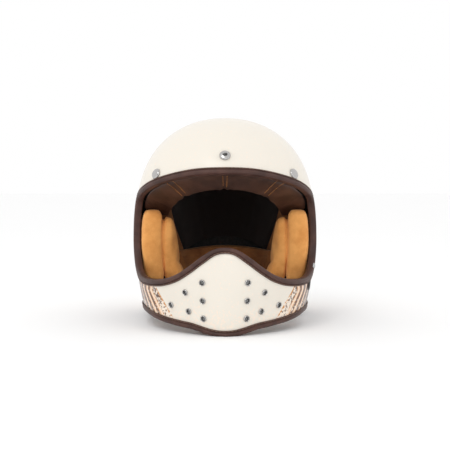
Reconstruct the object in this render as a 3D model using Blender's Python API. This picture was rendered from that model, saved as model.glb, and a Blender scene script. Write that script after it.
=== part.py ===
"""Retro full-face enduro motorcycle helmet, as an assembly of separate pieces.

Metres, +Z up. The helmet faces -Y, stands on z = 0, and is the same on both sides of x = 0.
"""

import math

import bmesh
import bpy
import numpy as np
from mathutils import Matrix, Vector

# Driving dimensions of the shell, in metres
HEIGHT = 0.2748
HALF_WIDTH = 0.1230
WIDEST_Z = 0.115
BROW_REACH = 0.141
CHIN_REACH = 0.186
BACK_REACH = 0.158
CHIN_FULL_Z = 0.095
CHIN_FADE_Z = 0.160
SHELL_THICKNESS = 0.0035
EDGE_ARCH = 0.0180
EDGE_LIFT = 0.0011
CENTRE = np.array([0.0, 0.0, WIDEST_Z])
# The form is drawn round its widest section. This moves it so that its box is centred on the origin.
FRAME_SHIFT_Y = 0.0142

# Shape powers of the shell: plan section, crown, and how far it tucks in at the base
PLAN_POWER = 2.25
CROWN_RISE_POWER = 2.75
CROWN_OUT_POWER = 2.1
SIDE_TUCK = 0.145
BACK_TUCK = 0.20
CHIN_TUCK = 0.035
BEVEL_ANGLE = math.radians(35)
BEVEL_HALF_PANEL = 0.019
BEVEL_FADE = 0.10
BEVEL_SOFTNESS = 22

# Lattice over the shell, from the eye port's edge to the neck's edge
AROUND = 64
ROWS = 96
FINE = 400
SHELL_ROWS = 17
PORT_TILT = math.radians(15)
EDGE_BAND = 0.009

# Layers, as depths below the shell's outer surface
GAP = 0.0004
LINER_OUTER = 0.0055
LINER_INNER = 0.031
COMFORT_OUTER = 0.0330
COMFORT_INNER = 0.0400

SEAM_SHARE = 0.12
LINER_COLUMNS = 10
CROWN_COLUMNS = 8
SIDE_COLUMNS = 10
CHIN_COLUMNS = 9

# Brow pad: spans from the port's edge and in from the form, and half its length in lattice columns
BROW_DISTANCES, BROW_DEPTHS = (0.0025, 0.0215), (0.0095, 0.0400)
BROW_COLUMNS = 13.6
BROW_SECTIONS = 25
BROW_POINTS = 10
BROW_SQUARENESS = 0.62
BROW_END_TAPER = 0.45

# Cheek pads: spans along Y and Z, and depths in from the side wall
EDGE_ROLL_Y, EDGE_ROLL_Z, EDGE_ROLL_DEPTHS = (-0.0480, -0.0170), (0.0520, 0.1500), (0.0095, 0.0345)
CHEEK_Y, CHEEK_Z, CHEEK_PAD_DEPTHS = (-0.0430, 0.0340), (0.0520, 0.1400), (0.0352, 0.0540)
CHEEK_TOP_SLOPE = 0.35
CORE_Y, CORE_Z, CORE_DEPTHS = (-0.0120, 0.0270), (0.0520, 0.0920), (0.0228, 0.0344)
PLATE_DEPTHS = (0.0178, 0.0192)

# Fittings
VENT_HOLE_RADIUS = 0.0034
EYELET_FLANGE_RADIUS = 0.0041
STUD_RADIUS = 0.0072
STUD_HOLE_RADIUS = 0.0032
STRAP_AXIS_Z = 0.070
STRAP_WIDTH = 0.024
STRAP_THICKNESS = 0.0018
RING_WIRE_RADIUS = 0.0018
RING_BAR_X, RING_UPPER_Z, RING_LOWER_Z = 0.0265, 0.0156, 0.0111
ANCHOR_X, ANCHOR_THICKNESS = 0.1077, 0.0015

# The eye port's edge from the bottom centre to the top centre: azimuth from -Y in degrees, height
PORT_EDGE = [
    (0, 0.1065), (4.5, 0.1037), (9.5, 0.0935), (15.0, 0.0810), (22.0, 0.0695), (31.5, 0.0630),
    (47.0, 0.0620), (60.0, 0.0685), (68.0, 0.0810), (72.5, 0.0975), (74.0, 0.1200), (74.0, 0.1450),
    (70.5, 0.1650), (58.5, 0.1765), (39.0, 0.1893), (18.5, 0.1978), (0, 0.1998),
]
# Vent centres on the left half of the chin bar: distance from the centre plane, height
VENTS = [(0.0277, 0.0655), (0.0270, 0.0430), (0.0262, 0.0210), (0.0487, 0.0520), (0.0445, 0.0285), (0.0670, 0.0345)]
CENTRE_STUD_Z = 0.2205
SIDE_STUD = (46.5, 0.1975)


def clear_scene():
    for obj in list(bpy.data.objects):
        bpy.data.objects.remove(obj, do_unlink=True)


def smooth(value):
    value = np.clip(value, 0.0, 1.0)
    return value * value * (3 - 2 * value)


# The outer form

def form_level(points, depth=0.0):
    """Less than 1 inside the shell's form, which is drawn in by depth, and more than 1 outside it."""
    x, y, z = np.abs(points[..., 0]), points[..., 1], points[..., 2]
    rise = np.clip((z - WIDEST_Z) / (HEIGHT - depth - WIDEST_Z), 0, None)
    fall = np.clip((WIDEST_Z - z) / WIDEST_Z, 0, 1.5)
    chin = smooth((CHIN_FADE_Z - z) / (CHIN_FADE_Z - CHIN_FULL_Z))
    side = HALF_WIDTH * (1 - SIDE_TUCK * fall**2) - depth
    front = (BROW_REACH + (CHIN_REACH - BROW_REACH) * chin) * (1 - CHIN_TUCK * fall**2) - depth
    back = BACK_REACH * (1 - BACK_TUCK * fall**2) - depth
    along = np.where(y < 0, front, back)
    plan = ((x / side) ** PLAN_POWER + (np.abs(y) / along) ** PLAN_POWER) ** (1 / PLAN_POWER)
    fade = 1 + BEVEL_FADE * smooth((z - 0.25 * WIDEST_Z) / (0.65 * WIDEST_Z))
    bevel_reach = (BEVEL_HALF_PANEL * math.sin(BEVEL_ANGLE) + front * math.cos(BEVEL_ANGLE)) * fade
    bevel = np.clip((x * math.sin(BEVEL_ANGLE) - y * math.cos(BEVEL_ANGLE)) / bevel_reach, 0, None)
    plan = (plan**BEVEL_SOFTNESS + bevel**BEVEL_SOFTNESS) ** (1 / BEVEL_SOFTNESS)
    return plan**CROWN_OUT_POWER + rise**CROWN_RISE_POWER


def form_point(directions, depth=0.0, start=CENTRE):
    """Where rays from start meet the form."""
    near, far = np.zeros(directions.shape[:-1]), np.full(directions.shape[:-1], 0.4)
    for _ in range(36):
        middle = (near + far) / 2
        inside = form_level(start + directions * middle[..., None], depth) < 1
        near, far = np.where(inside, middle, near), np.where(inside, far, middle)
    return start + directions * near[..., None]


def unit(vectors):
    return vectors / np.linalg.norm(vectors, axis=-1, keepdims=True)


def form_at(azimuth, height, depth=0.0):
    """The form's point at an azimuth from -Y, in degrees, and a height."""
    angle = np.radians(azimuth)
    level = np.stack([np.sin(angle), -np.cos(angle), np.zeros_like(angle)], axis=-1)
    start = np.stack([np.zeros_like(angle), np.zeros_like(angle), np.broadcast_to(height, angle.shape)], axis=-1)
    return form_point(level, depth, start)


def form_normal(points):
    step = 1e-5
    slope = [form_level(points + step * axis) - form_level(points - step * axis) for axis in np.eye(3)]
    return unit(np.stack(slope, axis=-1))


# The lattice between the eye port's edge and the neck's edge

def even_half(half):
    """FINE + 1 points at even spacing along half a loop, from its bottom centre to its top centre."""
    length = np.concatenate([[0], np.cumsum(np.linalg.norm(np.diff(half, axis=0), axis=1))])
    wanted = np.linspace(0, length[-1], FINE + 1)
    return np.stack([np.interp(wanted, length, half[:, axis]) for axis in range(3)], axis=1)


def smooth_curve(knots, count):
    """A Catmull-Rom curve through the knots, whose ends are mirrored in azimuth."""
    knots = np.array(knots, float)
    padded = np.concatenate([[knots[1] * [-1, 1]], knots, [knots[-2] * [-1, 1]]])
    found = []
    for place in np.linspace(0, len(knots) - 1 - 1e-9, count):
        index, t = int(place), place % 1
        a, b, c, d = padded[index:index + 4]
        found.append(0.5 * (2 * b + (c - a) * t + (2 * a - 5 * b + 4 * c - d) * t**2 + (3 * b - a - 3 * c + d) * t**3))
    return np.array(found)


def port_half():
    curve = smooth_curve(PORT_EDGE, 400)
    return even_half(form_at(curve[:, 0], curve[:, 1]))


def neck_half():
    """Level at the chin and the nape, and arched up at the sides."""
    azimuth = np.linspace(0, 180, 400)
    rise = 0.35 * smooth((azimuth - 3) / 9) + 0.65 * smooth((azimuth - 3) / 52)
    arch = rise * (1 - smooth((azimuth - 105) / 50))
    return even_half(form_at(azimuth, EDGE_LIFT + EDGE_ARCH * arch))


def to_plane(directions):
    """Stereographic map that opens the form out round the port: the port's edge lies outside the neck's."""
    ahead = -directions[..., 1] * math.cos(PORT_TILT) + directions[..., 2] * math.sin(PORT_TILT)
    up = directions[..., 2] * math.cos(PORT_TILT) + directions[..., 1] * math.sin(PORT_TILT)
    return np.stack([directions[..., 0], up], axis=-1) / (1 - ahead[..., None])


def from_plane(flat):
    size = (flat**2).sum(-1)
    across, up, ahead = 2 * flat[..., 0] / (1 + size), 2 * flat[..., 1] / (1 + size), (size - 1) / (size + 1)
    y = -ahead * math.cos(PORT_TILT) + up * math.sin(PORT_TILT)
    z = ahead * math.sin(PORT_TILT) + up * math.cos(PORT_TILT)
    return np.stack([across, y, z], axis=-1)


def build_lattice():
    """Unit directions [around, row] over the form, down straight lines of the plane from one edge to the other.

    The columns are set so that the gaps between them at the port, and where they are widest, average the same.
    """
    port, neck = to_plane(unit(port_half() - CENTRE)), to_plane(unit(neck_half() - CENTRE))
    share = np.linspace(0, 1, ROWS + 1)[:, None]
    half = unit(from_plane(port[:, None] * (1 - share) + neck[:, None] * share))
    gaps = np.linalg.norm(np.diff(form_point(half), axis=0), axis=2)
    place = np.concatenate([[0], np.cumsum(gaps[:, 0] + gaps.max(axis=1))])
    wanted = np.interp(np.linspace(0, place[-1], AROUND // 2 + 1), place, np.arange(FINE + 1))
    low, part = np.minimum(wanted.astype(int), FINE - 1), (wanted - np.minimum(wanted.astype(int), FINE - 1))
    side = unit(half[low] * (1 - part[:, None, None]) + half[low + 1] * part[:, None, None])
    return np.concatenate([side, (side * [-1, 1, 1])[-2:0:-1]])


LATTICE = build_lattice()


def lattice_column(column):
    """The directions down one column, which may lie between two of the lattice's."""
    first, part = int(math.floor(column)), column % 1
    return unit(LATTICE[first % AROUND] * (1 - part) + LATTICE[(first + 1) % AROUND] * part)


def lane(column, distances):
    """Directions along one lattice column, at distances in metres from the port's edge.

    A negative distance counts back from the neck's edge.
    """
    directions = lattice_column(column)
    points = form_point(directions)
    length = np.concatenate([[0], np.cumsum(np.linalg.norm(np.diff(points, axis=0), axis=1))])
    wanted = np.where(distances < 0, length[-1] + distances, distances)
    return unit(np.stack([np.interp(wanted, length, directions[:, axis]) for axis in range(3)], axis=-1))


def lanes(columns, start, stop, count):
    """Directions [column, row] spread evenly between two distances, as in lane."""
    found = []
    for column in columns:
        points = form_point(lattice_column(column))
        length = np.linalg.norm(np.diff(points, axis=0), axis=1).sum()
        first = length + start if start < 0 else start
        last = length + stop if stop <= 0 else stop
        found.append(lane(column, np.linspace(first, last, count)))
    return np.array(found)


# Making objects

def material(name, color, roughness, metallic=0.0):
    found = bpy.data.materials.get(name)
    if found is None:
        found = bpy.data.materials.new(name)
        found.use_nodes = True
        shader = found.node_tree.nodes["Principled BSDF"]
        shader.inputs["Base Color"].default_value = (*color, 1)
        shader.inputs["Roughness"].default_value = roughness
        shader.inputs["Metallic"].default_value = metallic
        found.diffuse_color = (*color, 1)
    return found


def cream_paint():
    return material("cream_paint", (0.84, 0.78, 0.68), 0.35)


def brown_trim():
    return material("brown_trim", (0.10, 0.055, 0.042), 0.55)


def brown_leather():
    return material("brown_leather", (0.07, 0.035, 0.025), 0.5)


def tan_suede():
    return material("tan_suede", (0.62, 0.30, 0.10), 0.9)


def dark_mesh():
    return material("dark_mesh", (0.02, 0.015, 0.012), 0.9)


def black_foam():
    return material("black_foam", (0.03, 0.03, 0.03), 0.9)


def black_plastic():
    return material("black_plastic", (0.03, 0.03, 0.03), 0.5)


def chrome():
    return material("chrome", (0.8, 0.8, 0.8), 0.15, 1.0)


def steel():
    return material("steel", (0.55, 0.55, 0.55), 0.3, 1.0)


def webbing():
    return material("webbing", (0.03, 0.025, 0.022), 0.85)


def object_of(mesh, name, look, soft=True):
    mesh.materials.append(look)
    if soft:
        mesh.shade_smooth()
        mesh.set_sharp_from_angle(angle=math.radians(40))
    obj = bpy.data.objects.new(name, mesh)
    bpy.context.collection.objects.link(obj)
    return obj


def solid(name, points, faces, look):
    """A closed mesh whose faces are turned to point out."""
    mesh = bpy.data.meshes.new(name)
    mesh.from_pydata([tuple(point) for point in points], [], faces)
    work = bmesh.new()
    work.from_mesh(mesh)
    bmesh.ops.recalc_face_normals(work, faces=work.faces)
    if work.calc_volume(signed=True) < 0:
        bmesh.ops.reverse_faces(work, faces=work.faces)
    work.to_mesh(mesh)
    work.free()
    return object_of(mesh, name, look)


def grid_faces(rows, columns, offset=0, close_rows=False, close_columns=False):
    def at(row, column):
        return offset + (row % rows) * columns + column % columns

    last_row, last_column = rows - (not close_rows), columns - (not close_columns)
    return [
        (at(i, j), at(i + 1, j), at(i + 1, j + 1), at(i, j + 1))
        for i in range(last_row) for j in range(last_column)
    ]


def tube_of_sections(name, sections, look, closed):
    """A solid through sections [section, point, xyz]. It is capped at both ends, or closed on itself."""
    count, around = sections.shape[:2]
    faces = grid_faces(count, around, close_rows=closed, close_columns=True)
    if not closed:
        faces.append(tuple(range(around)))
        faces.append(tuple(range((count - 1) * around, count * around)))
    return solid(name, sections.reshape(-1, 3), faces, look)


def layered_patch(name, directions, outer_depth, inner_depth, look):
    """A solid between two depths over a block of directions [column, row], open at its four sides."""
    outer = form_point(directions, outer_depth)
    inner = form_point(directions, inner_depth)
    sections = np.concatenate([outer, inner[:, ::-1]], axis=1)
    return tube_of_sections(name, sections, look, closed=False)


def turned(name, profile, point, axis, look, sides=12, closed=True):
    """A turned piece whose profile of (radius, height) runs along axis from point.

    A closed profile makes a ring. An open one starts and ends on the axis, and its end radii are 0.
    """
    frame = Vector(axis).to_track_quat("Z", "Y").to_matrix()
    angles = [2 * math.pi * side / sides for side in range(sides)]
    rim = [entry for entry in profile if entry[0] > 0]
    points = [
        Vector(point) + frame @ Vector((radius * math.cos(angle), radius * math.sin(angle), height))
        for angle in angles for radius, height in rim
    ]
    faces = grid_faces(sides, len(rim), close_rows=True, close_columns=closed)
    if not closed:
        faces.append(tuple(side * len(rim) for side in range(sides)))
        faces.append(tuple(side * len(rim) + len(rim) - 1 for side in range(sides)))
    return solid(name, points, faces, look)


def set_origin(obj, origin):
    obj.data.transform(Matrix.Translation(-Vector(origin)))
    obj.location = origin


def cut(target, cutters, name):
    """Cuts the joined cutters from the target with one Boolean."""
    work = bmesh.new()
    for cutter in cutters:
        work.from_mesh(cutter.data)
        bpy.data.objects.remove(cutter, do_unlink=True)
    mesh = bpy.data.meshes.new(name)
    work.to_mesh(mesh)
    work.free()
    joined = bpy.data.objects.new(name, mesh)
    bpy.context.collection.objects.link(joined)
    joined.hide_render = True
    joined.display_type = "WIRE"
    boolean = target.modifiers.new(name, "BOOLEAN")
    boolean.object = joined
    boolean.solver = "EXACT"


# The shell and its trims

def vent_places():
    """(name, point, outward direction) of each vent, right half first."""
    found = []
    for side in (-1, 1):
        for across, height in VENTS:
            azimuth = math.degrees(math.atan2(across, CHIN_REACH * 0.92))
            for _ in range(8):
                point = form_at(np.array(azimuth), height)
                azimuth += math.degrees((across - point[0]) / CHIN_REACH)
            normal = form_normal(point)
            flip = np.array([side, 1, 1])
            found.append((f"chin_vent_eyelet_{len(found) + 1}", point * flip, normal * flip))
    return found


def stud_places():
    centre = form_at(np.array(0.0), CENTRE_STUD_Z)
    side = form_at(np.array(SIDE_STUD[0]), SIDE_STUD[1])
    found = [("peak_stud_centre", centre, form_normal(centre))]
    for name, sign in (("peak_stud_left", 1), ("peak_stud_right", -1)):
        flip = np.array([sign, 1, 1])
        found.append((name, side * flip, form_normal(side) * flip))
    return found


def rivet_point(side):
    point = form_at(np.array(90.0), STRAP_AXIS_Z)
    return point * [side, 0, 1]


def shell_cutters():
    holes = [(point, normal, VENT_HOLE_RADIUS) for _, point, normal in vent_places()]
    holes += [(point, normal, STUD_HOLE_RADIUS) for _, point, normal in stud_places()]
    holes += [(rivet_point(side), np.array([side, 0, 0]), STUD_HOLE_RADIUS) for side in (-1, 1)]
    found = []
    for index, (point, normal, radius) in enumerate(holes):
        profile = [(radius, 0.008), (radius, -0.010)]
        found.append(turned(f"hole_{index}", profile, point, normal, steel(), closed=False))
    return found


def shell_directions():
    """Directions [column, row] of the shell: its two edges, and even rows between them.

    The liners use the same directions, so that their facets lie along the shell's.
    """
    edges = lanes(range(AROUND), 0, 0, 2)
    between = lanes(range(AROUND), EDGE_BAND, -EDGE_BAND, SHELL_ROWS)
    return np.concatenate([edges[:, :1], between, edges[:, 1:]], axis=1)


def outer_shell():
    outer = form_point(SHELL_LANES)
    inner = outer - SHELL_THICKNESS * form_normal(outer)
    sections = np.concatenate([outer, inner[:, ::-1]], axis=1)
    shell = tube_of_sections("outer_shell", sections, cream_paint(), closed=True)
    cut(shell, shell_cutters(), "shell_holes")
    return shell


def edge_frames(from_port):
    """Edge points, and unit vectors over the shell and out of it, round one edge."""
    edge = form_point(LATTICE[:, 0 if from_port else -1])
    along = np.roll(edge, -1, 0) - np.roll(edge, 1, 0)
    out = form_normal(edge)
    over = np.cross(along, out) if from_port else np.cross(out, along)
    return edge, unit(over), out


# Channel section, as (over the shell, out of it), from the outer leg's tip to the inner leg's tip
CHANNEL = [
    (0.0056, GAP), (0.0056, 0.0013), (0.0040, 0.0021), (-0.0003, 0.0021), (-0.0019, 0.0006),
    (-0.0019, -0.0060), (-0.0008, -0.0074), (0.0045, -0.0074), (0.0045, -0.0052), (-GAP, -0.0042), (-GAP, GAP),
]


def edge_trim(name, from_port, look):
    edge, over, out = edge_frames(from_port)
    profile = np.array(CHANNEL)
    sections = edge[:, None] + profile[None, :, :1] * over[:, None] + profile[None, :, 1:] * out[:, None]
    if not from_port:
        sections[..., 2] = np.maximum(sections[..., 2], 0)
    return tube_of_sections(name, sections, look, closed=True)


# Liners

TOP = AROUND // 2


def block(first, last, rows):
    """Shell directions from one column to another, drawn in at both ends so that neighbours stay apart."""
    found = SHELL_LANES[first:last + 1, rows].copy()
    ends = found[1] - found[0], found[-2] - found[-1]
    found[0] += SEAM_SHARE * ends[0]
    found[-1] += SEAM_SHARE * ends[1]
    return unit(found)


def impact_liner():
    directions = block(TOP - LINER_COLUMNS, TOP + LINER_COLUMNS, slice(2, -2))
    return layered_patch("impact_liner", directions, LINER_OUTER, LINER_INNER, black_foam())


def crown_liner():
    directions = block(TOP - CROWN_COLUMNS, TOP + CROWN_COLUMNS, slice(2, -5))
    return layered_patch("crown_liner", directions, COMFORT_OUTER, COMFORT_INNER, dark_mesh())


def side_liner(name, sign):
    inner, outer = TOP + sign * CROWN_COLUMNS, TOP + sign * SIDE_COLUMNS
    directions = block(min(inner, outer), max(inner, outer), slice(3, -6))
    return layered_patch(name, directions, COMFORT_OUTER, COMFORT_INNER, tan_suede())


def neck_roll():
    directions = lanes(np.arange(TOP - SIDE_COLUMNS, TOP + SIDE_COLUMNS + 1), -0.088, -0.016, 5)
    return layered_patch("neck_roll", directions, COMFORT_OUTER + 0.001, COMFORT_INNER + 0.008, tan_suede())


def brow_pad():
    """A rounded roll that follows the port's top edge and narrows at its two ends."""
    middle = np.array([sum(BROW_DISTANCES), sum(BROW_DEPTHS)]) / 2
    half = np.array([BROW_DISTANCES[1] - BROW_DISTANCES[0], BROW_DEPTHS[1] - BROW_DEPTHS[0]]) / 2
    turns = np.linspace(0, 2 * math.pi, BROW_POINTS, endpoint=False) + math.pi / BROW_POINTS
    circle = np.stack([np.cos(turns), np.sin(turns)], axis=1)
    ring = np.sign(circle) * np.abs(circle) ** BROW_SQUARENESS
    sections = []
    for share in np.linspace(-1, 1, BROW_SECTIONS):
        size = 1 - BROW_END_TAPER * abs(share) ** 8
        distances, depths = (middle + half * size * ring).T
        rays = lane(TOP + BROW_COLUMNS * share, distances)
        sections.append([form_point(ray, depth) for ray, depth in zip(rays, depths)])
    return tube_of_sections("brow_pad", np.array(sections), brown_leather(), closed=False)


def chin_bar_foam():
    directions = np.concatenate([SHELL_LANES[-CHIN_COLUMNS:], SHELL_LANES[:CHIN_COLUMNS + 1]])[:, 1:-1]
    return layered_patch("chin_bar_foam", directions, 0.0092, 0.0230, black_foam())


def vent_mesh(name, columns):
    directions = SHELL_LANES[columns, 2:-2]
    return layered_patch(name, directions, 0.0062, 0.0072, dark_mesh())


# Cheek pads

def wall_point(y, z, depth):
    """A point at a depth in from the left side wall, measured along X."""
    wall = form_point(np.array([1.0, 0.0, 0.0]), 0.0, np.array([0.0, y, z]))
    return wall - [depth, 0, 0]


def cushion(name, span_y, span_z, depths, look, lean=0.0, slope=0.0, power=3.4, around=14, up=9):
    """A rounded block along the left wall.

    Its lower end leans in towards the face by lean, and its top slopes down to the back by slope.
    """
    low = np.array([span_y[0], span_z[0], depths[0]])
    half = (np.array([span_y[1], span_z[1], depths[1]]) - low) / 2
    middle = low + half
    rings = []
    for row in range(up + 1):
        tilt = math.pi * (row + 0.5) / (up + 1) - math.pi / 2
        ring = []
        for step in range(around):
            turn = 2 * math.pi * (step + 0.5) / around
            ball = np.array([math.cos(tilt) * math.cos(turn), math.sin(tilt), math.cos(tilt) * math.sin(turn)])
            y, z, depth = middle + half * ball / (np.abs(ball) ** power).sum() ** (1 / power)
            inwards = smooth((depth - depths[0]) / (depths[1] - depths[0]))
            depth += lean * inwards * smooth((span_z[0] + 0.030 - z) / 0.030)
            z -= slope * (y - span_y[0]) * (z - span_z[0]) / (span_z[1] - span_z[0])
            ring.append(wall_point(y, z, depth))
        rings.append(ring)
    return tube_of_sections(name, np.array(rings), look, closed=False)


def flat_plate(name, span_y, span_z, depths, look):
    """A thin plate with cut corners along the left wall."""
    corner = 0.012
    outline = [
        (span_y[0] + corner, span_z[0]), (span_y[1] - corner, span_z[0]), (span_y[1], span_z[0] + corner),
        (span_y[1], span_z[1] - corner), (span_y[1] - corner, span_z[1]), (span_y[0] + corner, span_z[1]),
        (span_y[0], span_z[1] - corner), (span_y[0], span_z[0] + corner),
    ]
    sections = np.array([[wall_point(y, z, depth) for y, z in outline] for depth in depths])
    return tube_of_sections(name, sections, look, closed=False)


def mirrored(obj, name):
    mesh = obj.data.copy()
    mesh.transform(Matrix.Scale(-1, 4, (1, 0, 0)))
    mesh.flip_normals()
    twin = bpy.data.objects.new(name, mesh)
    bpy.context.collection.objects.link(twin)
    return twin


def cheek_pieces():
    made = [
        cushion("cheek_pad_left", CHEEK_Y, CHEEK_Z, CHEEK_PAD_DEPTHS, tan_suede(), 0.012, CHEEK_TOP_SLOPE),
        cushion("cheek_edge_left", EDGE_ROLL_Y, EDGE_ROLL_Z, EDGE_ROLL_DEPTHS, tan_suede()),
        cushion("cheek_core_left", CORE_Y, CORE_Z, CORE_DEPTHS, black_foam(), power=6.0),
        flat_plate("cheek_plate_left", CORE_Y, CORE_Z, PLATE_DEPTHS, black_plastic()),
    ]
    for obj in made:
        mirrored(obj, obj.name.replace("left", "right"))


# Metal fittings on the shell

def vent_eyelets():
    barrel, bore = VENT_HOLE_RADIUS - 0.0003, VENT_HOLE_RADIUS - 0.0010
    profile = [
        (bore, 0.0010), (bore + 0.0005, 0.0014), (EYELET_FLANGE_RADIUS, 0.0008), (EYELET_FLANGE_RADIUS, GAP),
        (barrel, GAP), (barrel, -0.0050), (bore, -0.0050),
    ]
    for name, point, normal in vent_places():
        turned(name, profile, point, normal, chrome(), sides=10)


def peak_studs():
    shank = STUD_HOLE_RADIUS - 0.0006
    profile = [
        (0.0046, 0.0032), (0.0060, 0.0028), (STUD_RADIUS, 0.0014), (STUD_RADIUS, GAP), (shank, GAP), (shank, -0.0045),
    ]
    for name, point, normal in stud_places():
        turned(name, profile, point, normal, chrome(), sides=16, closed=False)


def strap_rivets():
    shank = STUD_HOLE_RADIUS - 0.0006
    profile = [
        (0.0036, 0.0026), (0.0055, 0.0017), (0.0055, 0.0009), (shank, 0.0009), (shank, -0.0130),
        (0.0052, -0.0130), (0.0052, -0.0144),
    ]
    for name, side in (("strap_rivet_left", 1), ("strap_rivet_right", -1)):
        turned(name, profile, rivet_point(side), (side, 0, 0), steel(), sides=14, closed=False)


# Chin strap: it hangs as a fastened loop from the two rivets, in the plane y = 0

def strap_anchor():
    """The left anchor plate: a flat tab with the rivet's hole above and the strap's slot below."""
    outer, inner = ANCHOR_X + ANCHOR_THICKNESS, ANCHOR_X
    outline = [(-0.0145, 0.0425), (0.0145, 0.0425), (0.0145, 0.0560)]
    for step in range(7):
        turn = math.pi * step / 6
        outline.append((0.0075 * math.cos(turn), STRAP_AXIS_Z + 0.0075 * math.sin(turn)))
    outline.append((-0.0145, 0.0560))
    sections = np.array([[(x, y, z) for y, z in outline] for x in (outer, inner)])
    plate = tube_of_sections("strap_anchor_left", sections, steel(), closed=False)
    hole = turned("hole", [(STUD_HOLE_RADIUS, 0.003), (STUD_HOLE_RADIUS, -0.003)], (ANCHOR_X, 0, STRAP_AXIS_Z),
                  (1, 0, 0), steel(), closed=False)
    low, high, half = 0.0465, 0.0515, STRAP_WIDTH / 2 + 0.0006
    frame = [(-half, low), (half, low), (half, high), (-half, high)]
    reach = (outer + 0.002, inner - 0.002)
    slot = tube_of_sections("slot", np.array([[(x, y, z) for y, z in frame] for x in reach]), steel(), closed=False)
    cut(plate, [hole, slot], "anchor_holes")
    return plate


def apply_modifiers(obj):
    graph = bpy.context.evaluated_depsgraph_get()
    mesh = bpy.data.meshes.new_from_object(obj.evaluated_get(graph))
    obj.modifiers.clear()
    obj.data = mesh
    return obj


def ribbon(name, path, look, width=STRAP_WIDTH, thickness=STRAP_THICKNESS, lift=0.0):
    """A flat band along a path of (x, z), lifted off it to the path's left."""
    path = np.array(path, float)
    along = unit(np.gradient(path, axis=0))
    across = np.stack([-along[:, 1], along[:, 0]], axis=1)
    sections = []
    for (x, z), (dx, dz) in zip(path, across):
        ring = []
        for half, y in ((0.5, -0.5), (0.5, 0.5), (-0.5, 0.5), (-0.5, -0.5)):
            reach = lift + half * thickness
            ring.append((x + dx * reach, y * width, z + dz * reach))
        sections.append(ring)
    return tube_of_sections(name, np.array(sections), look, closed=False)


def arc(centre, radius, first, last, count):
    turns = np.radians(np.linspace(first, last, count))
    return [(centre[0] + radius * math.cos(turn), centre[1] + radius * math.sin(turn)) for turn in turns]


def strap_hook():
    """The strap's path at x > 0 from its folded end, over the anchor's bar and down."""
    middle = ANCHOR_X + ANCHOR_THICKNESS / 2
    radius = ANCHOR_THICKNESS / 2 + STRAP_THICKNESS / 2 + 0.0002
    return [(middle + radius, 0.0410)] + arc((middle, 0.0476), radius, 0, 180, 7) + [(middle - radius, 0.0400)]


STRAP_DROP = [(0.1030, 0.0300), (0.0940, 0.0205), (0.0800, 0.0155), (0.0640, 0.0140)]


def strap_short():
    """The left half, which ends in a loop round the bars of the two D-rings."""
    x, reach = RING_BAR_X, RING_WIRE_RADIUS + 0.0004 + STRAP_THICKNESS / 2
    path = strap_hook() + STRAP_DROP + [(0.0440, 0.0165), (x + 0.0050, RING_UPPER_Z + reach)]
    path += arc((x, RING_UPPER_Z), reach, 90, 180, 4) + arc((x, RING_LOWER_Z), reach, 180, 270, 4)
    path += [(x + 0.0050, RING_LOWER_Z - reach), (0.0440, 0.0105), (0.0540, 0.0112)]
    return ribbon("strap_short", path, webbing())


def strap_long():
    """The right half, which passes up through both D-rings and lies back over the left half."""
    path = [(-x, z) for x, z in strap_hook() + STRAP_DROP]
    path += [(-0.0420, 0.0118), (-0.0200, 0.0080), (-0.0020, 0.0058), (0.0075, 0.0062), (0.0125, 0.0092)]
    path += [(0.0165, 0.0150), (0.0195, 0.0205), (0.0240, 0.0245), (0.0330, 0.0258), (0.0460, 0.0225), (0.0580, 0.0195)]
    return ribbon("strap_long", path, webbing())


def d_ring(name, height):
    """A D-ring that lies level, with its straight bar along Y in the short strap's loop."""
    half, reach, squareness = 0.0148, 0.0215, 0.55
    route = [(RING_BAR_X, y) for y in np.linspace(-half + 0.0030, half - 0.0030, 3)]
    for turn in np.radians(np.linspace(0, 180, 15)):
        across, out = math.cos(turn), math.sin(turn)
        x = RING_BAR_X - 0.0010 - (reach - 0.0010) * out**squareness
        route.append((x, half * math.copysign(abs(across) ** squareness, across)))
    route = np.array(route)
    along = unit(np.roll(route, -1, 0) - np.roll(route, 1, 0))
    sections = []
    for (x, y), (dx, dy) in zip(route, along):
        ring = []
        for step in range(8):
            turn = 2 * math.pi * (step + 0.5) / 8
            out = RING_WIRE_RADIUS * math.cos(turn)
            ring.append((x + dy * out, y - dx * out, height + RING_WIRE_RADIUS * math.sin(turn)))
        sections.append(ring)
    ring = tube_of_sections(name, np.array(sections), steel(), closed=True)
    set_origin(ring, (RING_BAR_X, 0, height))
    return ring


def strap_pads():
    path = STRAP_DROP[1:]
    lift = STRAP_THICKNESS / 2 + 0.0005 + 0.0025
    pad = ribbon("strap_pad_left", path, tan_suede(), width=0.032, thickness=0.005, lift=-lift)
    return [pad, mirrored(pad, "strap_pad_right")]


def strap_end_stud():
    profile = [(0.0028, 0.0022), (0.0046, 0.0016), (0.0050, 0.0004)]
    return turned("strap_end_stud", profile, (0.0520, 0, 0.0216), (0.26, 0, 0.966), chrome(), sides=14, closed=False)


def chin_strap():
    pivot = bpy.data.objects.new("chin_strap_pivot", None)
    pivot.location = (0, 0, STRAP_AXIS_Z)
    bpy.context.collection.objects.link(pivot)
    anchor = apply_modifiers(strap_anchor())
    pieces = [anchor, mirrored(anchor, "strap_anchor_right"), strap_short(), strap_long(), strap_end_stud()]
    pieces += strap_pads()
    for obj in pieces:
        obj.parent = pivot
        obj.matrix_parent_inverse = Matrix.Translation((0, 0, -STRAP_AXIS_Z))
    d_ring("d_ring_upper", RING_UPPER_Z)
    d_ring("d_ring_lower", RING_LOWER_Z)


def centre_on_origin():
    for obj in bpy.data.objects:
        if obj.parent is None:
            obj.location.y += FRAME_SHIFT_Y


SHELL_LANES = shell_directions()


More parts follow.
